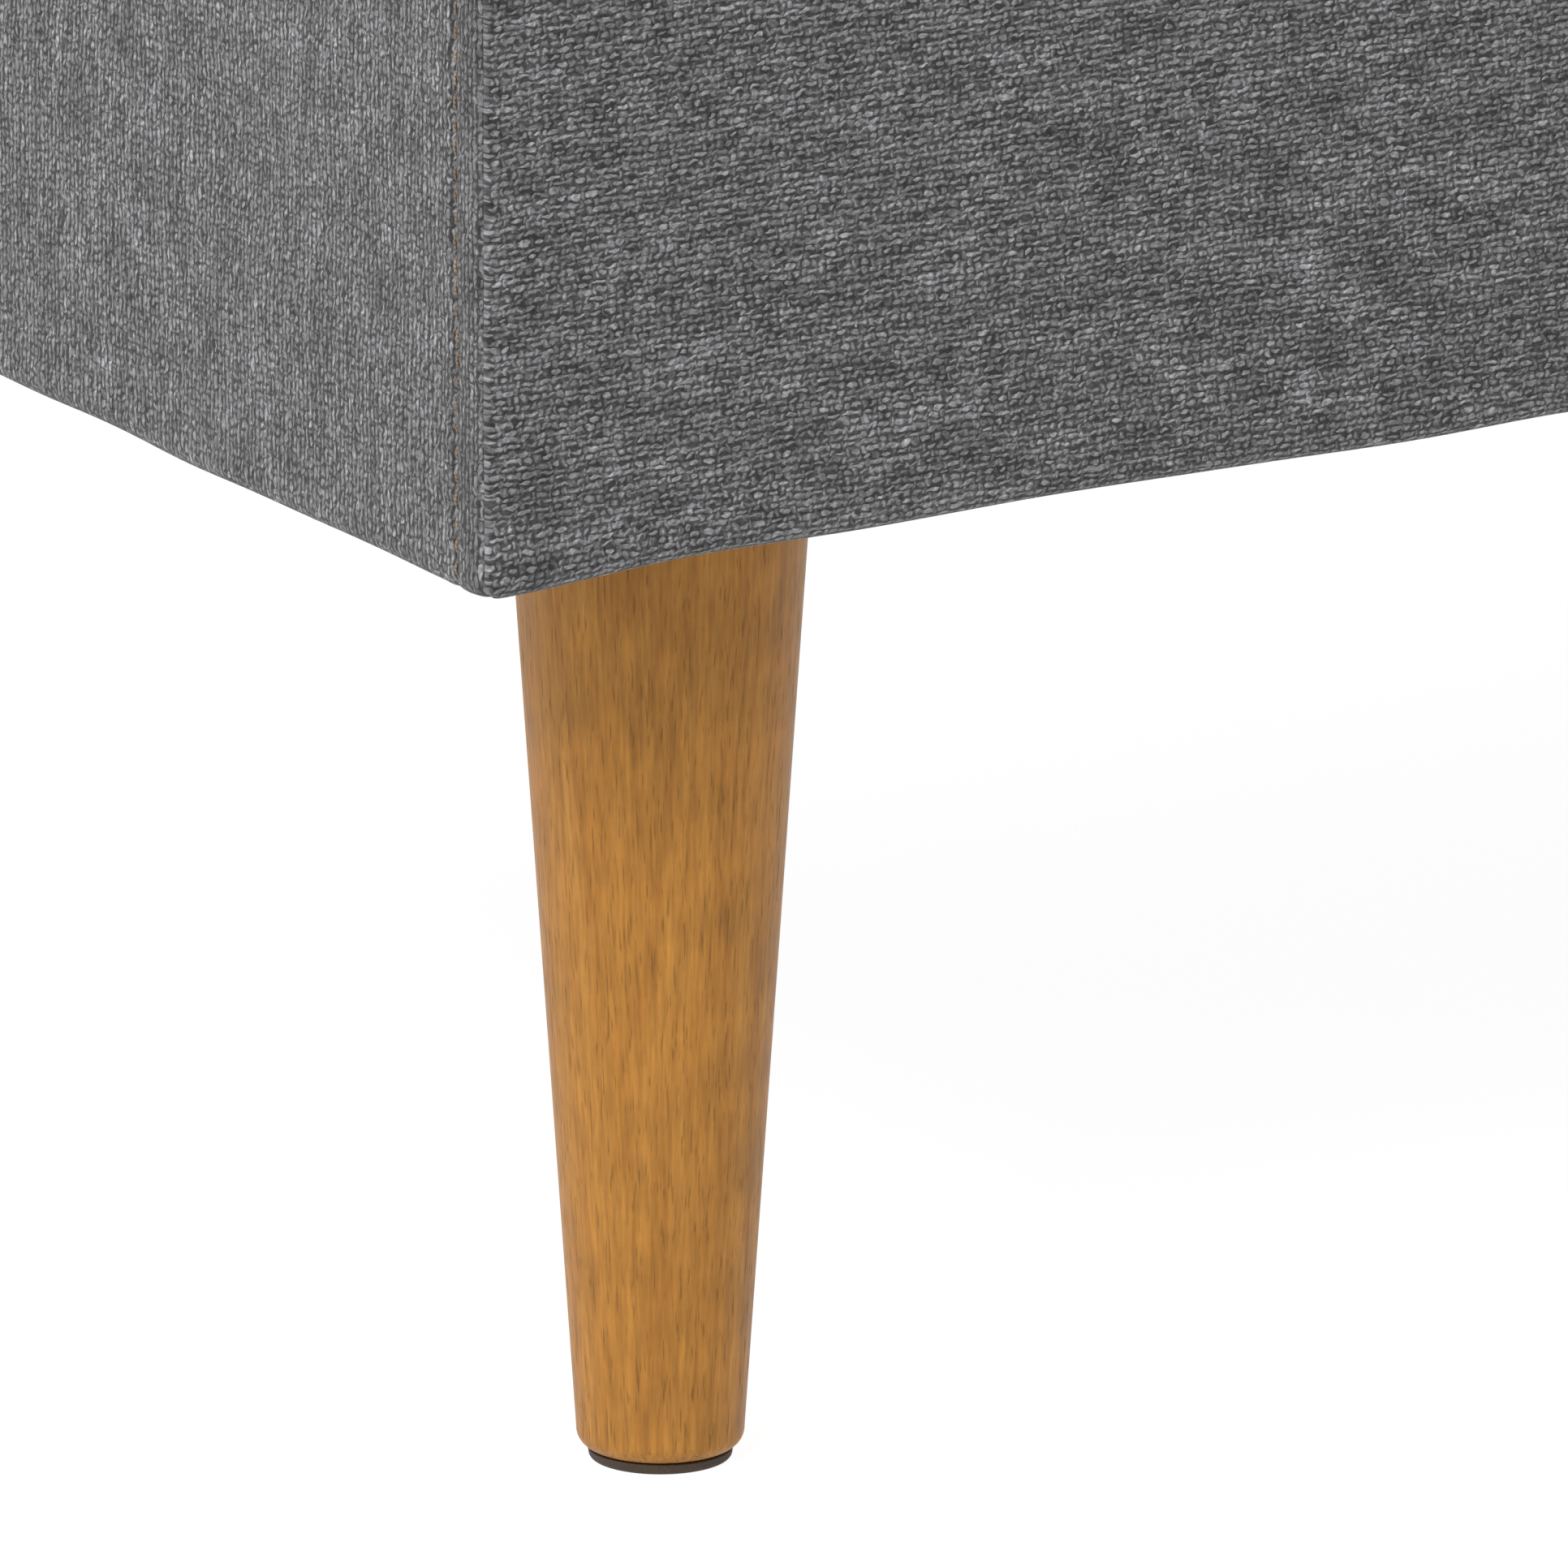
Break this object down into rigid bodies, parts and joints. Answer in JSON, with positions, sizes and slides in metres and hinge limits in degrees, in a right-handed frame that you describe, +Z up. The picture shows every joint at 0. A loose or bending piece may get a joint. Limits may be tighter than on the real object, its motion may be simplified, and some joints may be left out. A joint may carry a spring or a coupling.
{
  "type": "storage ottoman",
  "caption": "Fabric-covered storage ottoman: an upholstered box on tapered wooden legs with a padded, hinged lid held by folding stays.",
  "frame": {"origin": "on the floor under the middle of the overall outline", "axes": "+X along the ottoman's length to its right end, +Y to the back with the hinges, +Z up"},
  "size_m": [1, 0.5, 0.46],
  "materials": {
    "upholstery_fabric": "matte",
    "lining_cloth": "matte",
    "leg_wood": "satin",
    "plywood": "matte",
    "pine": "matte",
    "foam": "matte",
    "wadding": "matte",
    "rubber": "matte",
    "stay_steel": "satin",
    "zinc_steel": "satin"
  },
  "bodies": {
    "root": {"front_panel": "plywood", "rear_panel": "plywood", "left_panel": "plywood", "right_panel": "plywood", "base_board": "plywood", "base_rail_front": "pine", "base_rail_rear": "pine", "base_rail_left": "pine", "base_rail_right": "pine", "leg_block_front_left": "pine", "leg_block_front_right": "pine", "leg_block_rear_left": "pine", "leg_block_rear_right": "pine", "leg_front_left": "leg_wood", "leg_front_right": "leg_wood", "leg_rear_left": "leg_wood", "leg_rear_right": "leg_wood", "foot_pad_front_left": "rubber", "foot_pad_front_right": "rubber", "foot_pad_rear_left": "rubber", "foot_pad_rear_right": "rubber", "leg_bolts": "zinc_steel", "leg_tee_nuts": "zinc_steel", "panel_screws": "zinc_steel", "body_wadding": "wadding", "body_cover_front": "upholstery_fabric", "body_cover_rear": "upholstery_fabric", "body_cover_left": "upholstery_fabric", "body_cover_right": "upholstery_fabric", "storage_lining": "lining_cloth", "dust_cover": "lining_cloth", "dust_cover_staples": "zinc_steel", "rim_bumpers": "rubber", "hinge_body_leaf_left": "zinc_steel", "hinge_body_leaf_right": "zinc_steel", "hinge_pins": "zinc_steel", "body_hardware_screws": "zinc_steel", "stay_body_bracket_left": "stay_steel", "stay_body_bracket_right": "stay_steel"},
    "lid": {"lid_board": "plywood", "lid_foam": "foam", "lid_cover_top": "upholstery_fabric", "lid_cover_front": "upholstery_fabric", "lid_cover_rear": "upholstery_fabric", "lid_cover_left": "upholstery_fabric", "lid_cover_right": "upholstery_fabric", "lid_lining": "lining_cloth", "lid_staples": "zinc_steel", "hinge_lid_leaf_left": "zinc_steel", "hinge_lid_leaf_right": "zinc_steel", "lid_hardware_screws": "zinc_steel", "stay_lid_bracket_left": "stay_steel", "stay_lid_bracket_right": "stay_steel"},
    "stay_lower_left": {"stay_lower_arm_left": "stay_steel", "stay_elbow_rivet_left": "stay_steel"},
    "stay_upper_left": {"stay_upper_arm_left": "stay_steel"},
    "stay_lower_right": {"stay_lower_arm_right": "stay_steel", "stay_elbow_rivet_right": "stay_steel"},
    "stay_upper_right": {"stay_upper_arm_right": "stay_steel"}
  },
  "joints": [
    {"name": "lid_hinge", "type": "hinge", "parent": "root", "child": "lid", "pos_m": [0, 0.247, 0.3735], "axis": [-1, 0, 0], "range_deg": [0, 95]},
    {"name": "stay_lower_left", "type": "hinge", "parent": "root", "child": "stay_lower_left", "pos_m": [-0.4665, 0.172, 0.253], "axis": [-1, 0, 0], "range_deg": [0, 95]},
    {"name": "stay_elbow_left", "type": "hinge", "parent": "stay_lower_left", "child": "stay_upper_left", "pos_m": [-0.4665, -0.028, 0.239], "axis": [-1, 0, 0], "range_deg": [-95, 0]},
    {"name": "stay_lower_right", "type": "hinge", "parent": "root", "child": "stay_lower_right", "pos_m": [0.4665, 0.172, 0.253], "axis": [-1, 0, 0], "range_deg": [0, 95]},
    {"name": "stay_elbow_right", "type": "hinge", "parent": "stay_lower_right", "child": "stay_upper_right", "pos_m": [0.4665, -0.028, 0.239], "axis": [-1, 0, 0], "range_deg": [-95, 0]}
  ],
  "couplings": [
    {"joint": "stay_lower_left", "follows": "lid_hinge", "ratio": 1},
    {"joint": "stay_elbow_left", "follows": "lid_hinge", "ratio": -1},
    {"joint": "stay_lower_right", "follows": "lid_hinge", "ratio": 1},
    {"joint": "stay_elbow_right", "follows": "lid_hinge", "ratio": -1}
  ]
}
